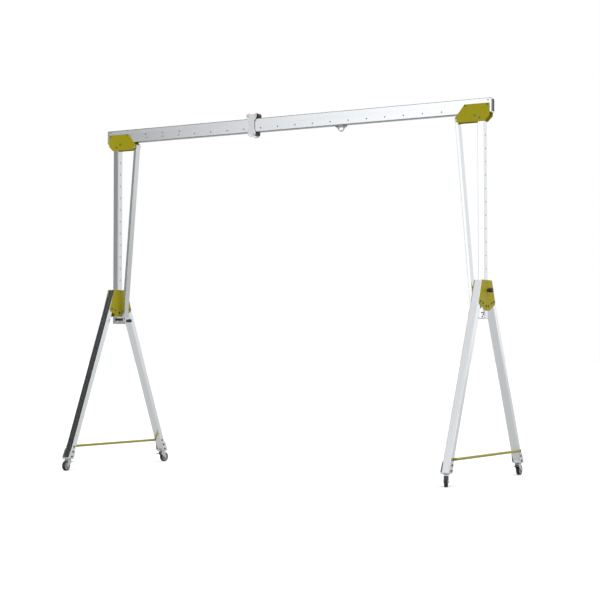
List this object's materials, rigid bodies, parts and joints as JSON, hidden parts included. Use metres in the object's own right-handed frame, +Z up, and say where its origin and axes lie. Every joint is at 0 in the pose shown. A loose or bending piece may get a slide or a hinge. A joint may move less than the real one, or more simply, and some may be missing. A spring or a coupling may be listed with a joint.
{
  "type": "portable gantry crane",
  "caption": "Portable aluminium gantry crane with a box beam, height-adjustable posts, A-shaped leg frames on braked swivel casters, and a beam trolley.",
  "frame": {"origin": "on the floor, midway between the two leg frames", "axes": "+X along the beam, +Y to the rear, +Z up"},
  "size_m": [4.42, 1.8143, 3.6053],
  "materials": {
    "aluminium": "bare extruded aluminium, fine drawn lines along each profile",
    "cast_aluminium": "machined aluminium block",
    "bracket_aluminium": "welded aluminium plate",
    "yellow_paint": "olive yellow powder coat",
    "tie_bar_yellow": "pale yellow coated bar",
    "black_plastic": "moulded black",
    "zinc_steel": "bright zinc plate",
    "pedal_paint": "reddish brown pressed pedal",
    "tyre_rubber": "black moulded tyre",
    "hub_plastic": "grey moulded hub",
    "trolley_steel": "zinc plated side plates",
    "roller_nylon": "black nylon",
    "eye_steel": "forged and plated"
  },
  "bodies": {
    "portal": {"beam": "aluminium", "beam_end_caps": "black_plastic", "strut_pins": "zinc_steel", "foot_block_knob": "black_plastic", "anchor_eye": "eye_steel", "post_left": "aluminium", "foot_block_left": "cast_aluminium", "strut_left": "aluminium", "bracket_plate_left_front": "yellow_paint", "bracket_plate_left_rear": "yellow_paint", "post_right": "aluminium", "foot_block_right": "cast_aluminium", "strut_right": "aluminium", "bracket_plate_right_front": "yellow_paint", "bracket_plate_right_rear": "yellow_paint"},
    "leg_frame_left": {"knee_plate_left_outer": "yellow_paint", "knee_plate_left_inner": "yellow_paint", "tie_bar_left": "tie_bar_yellow", "foot_brackets_left": "bracket_aluminium", "caster_plates_left": "zinc_steel", "leg_left_front": "aluminium", "leg_left_rear": "aluminium"},
    "lock_knob_left": {"lock_knob_left": "black_plastic"},
    "caster_left_front": {"fork_left_front": "zinc_steel"},
    "caster_wheel_left_front": {"tyre_left_front": "tyre_rubber", "wheel_left_front": "hub_plastic"},
    "brake_pedal_left_front": {"pedal_left_front": "pedal_paint"},
    "caster_left_rear": {"fork_left_rear": "zinc_steel"},
    "caster_wheel_left_rear": {"tyre_left_rear": "tyre_rubber", "wheel_left_rear": "hub_plastic"},
    "brake_pedal_left_rear": {"pedal_left_rear": "pedal_paint"},
    "leg_frame_right": {"knee_plate_right_outer": "yellow_paint", "knee_plate_right_inner": "yellow_paint", "tie_bar_right": "tie_bar_yellow", "foot_brackets_right": "bracket_aluminium", "caster_plates_right": "zinc_steel", "leg_right_front": "aluminium", "leg_right_rear": "aluminium"},
    "lock_knob_right": {"lock_knob_right": "black_plastic"},
    "caster_right_front": {"fork_right_front": "zinc_steel"},
    "caster_wheel_right_front": {"tyre_right_front": "tyre_rubber", "wheel_right_front": "hub_plastic"},
    "brake_pedal_right_front": {"pedal_right_front": "pedal_paint"},
    "caster_right_rear": {"fork_right_rear": "zinc_steel"},
    "caster_wheel_right_rear": {"tyre_right_rear": "tyre_rubber", "wheel_right_rear": "hub_plastic"},
    "brake_pedal_right_rear": {"pedal_right_rear": "pedal_paint"},
    "trolley": {"trolley_plate_front": "trolley_steel", "trolley_plate_rear": "trolley_steel", "trolley_pins": "zinc_steel"},
    "trolley_wheel_left": {"trolley_wheel_left": "roller_nylon"},
    "trolley_wheel_right": {"trolley_wheel_right": "roller_nylon"},
    "trolley_roller_low": {"trolley_roller_low": "roller_nylon"}
  },
  "joints": [
    {"name": "height_left", "type": "slide", "parent": "portal", "child": "leg_frame_left", "axis": [0, 0, 1], "range_m": [0, 1.25]},
    {"name": "lock_knob_turn_left", "type": "hinge", "parent": "leg_frame_left", "child": "lock_knob_left", "pos_m": [-2.17, 0, 1.762], "axis": [-1, 0, 0], "continuous": true},
    {"name": "swivel_left_front", "type": "hinge", "parent": "leg_frame_left", "child": "caster_left_front", "pos_m": [-2.1, -0.827, 0.11], "axis": [0, 0, 1], "continuous": true},
    {"name": "roll_left_front", "type": "hinge", "parent": "caster_left_front", "child": "caster_wheel_left_front", "pos_m": [-2.1, -0.857, 0.05], "axis": [1, 0, 0], "continuous": true},
    {"name": "brake_left_front", "type": "hinge", "parent": "caster_left_front", "child": "brake_pedal_left_front", "pos_m": [-2.1, -0.803, 0.088], "axis": [-1, 0, 0], "range_deg": [0, 12]},
    {"name": "swivel_left_rear", "type": "hinge", "parent": "leg_frame_left", "child": "caster_left_rear", "pos_m": [-2.1, 0.827, 0.11], "axis": [0, 0, 1], "continuous": true},
    {"name": "roll_left_rear", "type": "hinge", "parent": "caster_left_rear", "child": "caster_wheel_left_rear", "pos_m": [-2.09376, 0.85634, 0.05], "axis": [-0.9781, 0.2079, 0], "continuous": true},
    {"name": "brake_left_rear", "type": "hinge", "parent": "caster_left_rear", "child": "brake_pedal_left_rear", "pos_m": [-2.10499, 0.80352, 0.088], "axis": [0.9781, -0.2079, 0], "range_deg": [0, 12]},
    {"name": "height_right", "type": "slide", "parent": "portal", "child": "leg_frame_right", "axis": [0, 0, 1], "range_m": [0, 1.25]},
    {"name": "lock_knob_turn_right", "type": "hinge", "parent": "leg_frame_right", "child": "lock_knob_right", "pos_m": [2.17, 0, 1.762], "axis": [1, 0, 0], "continuous": true},
    {"name": "swivel_right_front", "type": "hinge", "parent": "leg_frame_right", "child": "caster_right_front", "pos_m": [2.1, -0.827, 0.11], "axis": [0, 0, 1], "continuous": true},
    {"name": "roll_right_front", "type": "hinge", "parent": "caster_right_front", "child": "caster_wheel_right_front", "pos_m": [2.11026, -0.85519, 0.05], "axis": [0.9397, 0.342, 0], "continuous": true},
    {"name": "brake_right_front", "type": "hinge", "parent": "caster_right_front", "child": "brake_pedal_right_front", "pos_m": [2.09179, -0.80445, 0.088], "axis": [-0.9397, -0.342, 0], "range_deg": [0, 12]},
    {"name": "swivel_right_rear", "type": "hinge", "parent": "leg_frame_right", "child": "caster_right_rear", "pos_m": [2.1, 0.827, 0.11], "axis": [0, 0, 1], "continuous": true},
    {"name": "roll_right_rear", "type": "hinge", "parent": "caster_right_rear", "child": "caster_wheel_right_rear", "pos_m": [2.1, 0.857, 0.05], "axis": [-1, 0, 0], "continuous": true},
    {"name": "brake_right_rear", "type": "hinge", "parent": "caster_right_rear", "child": "brake_pedal_right_rear", "pos_m": [2.1, 0.803, 0.088], "axis": [1, 0, 0], "range_deg": [0, 12]},
    {"name": "trolley_travel", "type": "slide", "parent": "portal", "child": "trolley", "axis": [1, 0, 0], "range_m": [-1.38, 0.89]},
    {"name": "trolley_wheel_left_turn", "type": "hinge", "parent": "trolley", "child": "trolley_wheel_left", "pos_m": [-0.445, 0, 3.5793], "axis": [0, 1, 0], "continuous": true},
    {"name": "trolley_wheel_right_turn", "type": "hinge", "parent": "trolley", "child": "trolley_wheel_right", "pos_m": [-0.355, 0, 3.5793], "axis": [0, 1, 0], "continuous": true},
    {"name": "trolley_roller_low_turn", "type": "hinge", "parent": "trolley", "child": "trolley_roller_low", "pos_m": [-0.374, 0, 3.395], "axis": [0, 1, 0], "continuous": true}
  ]
}
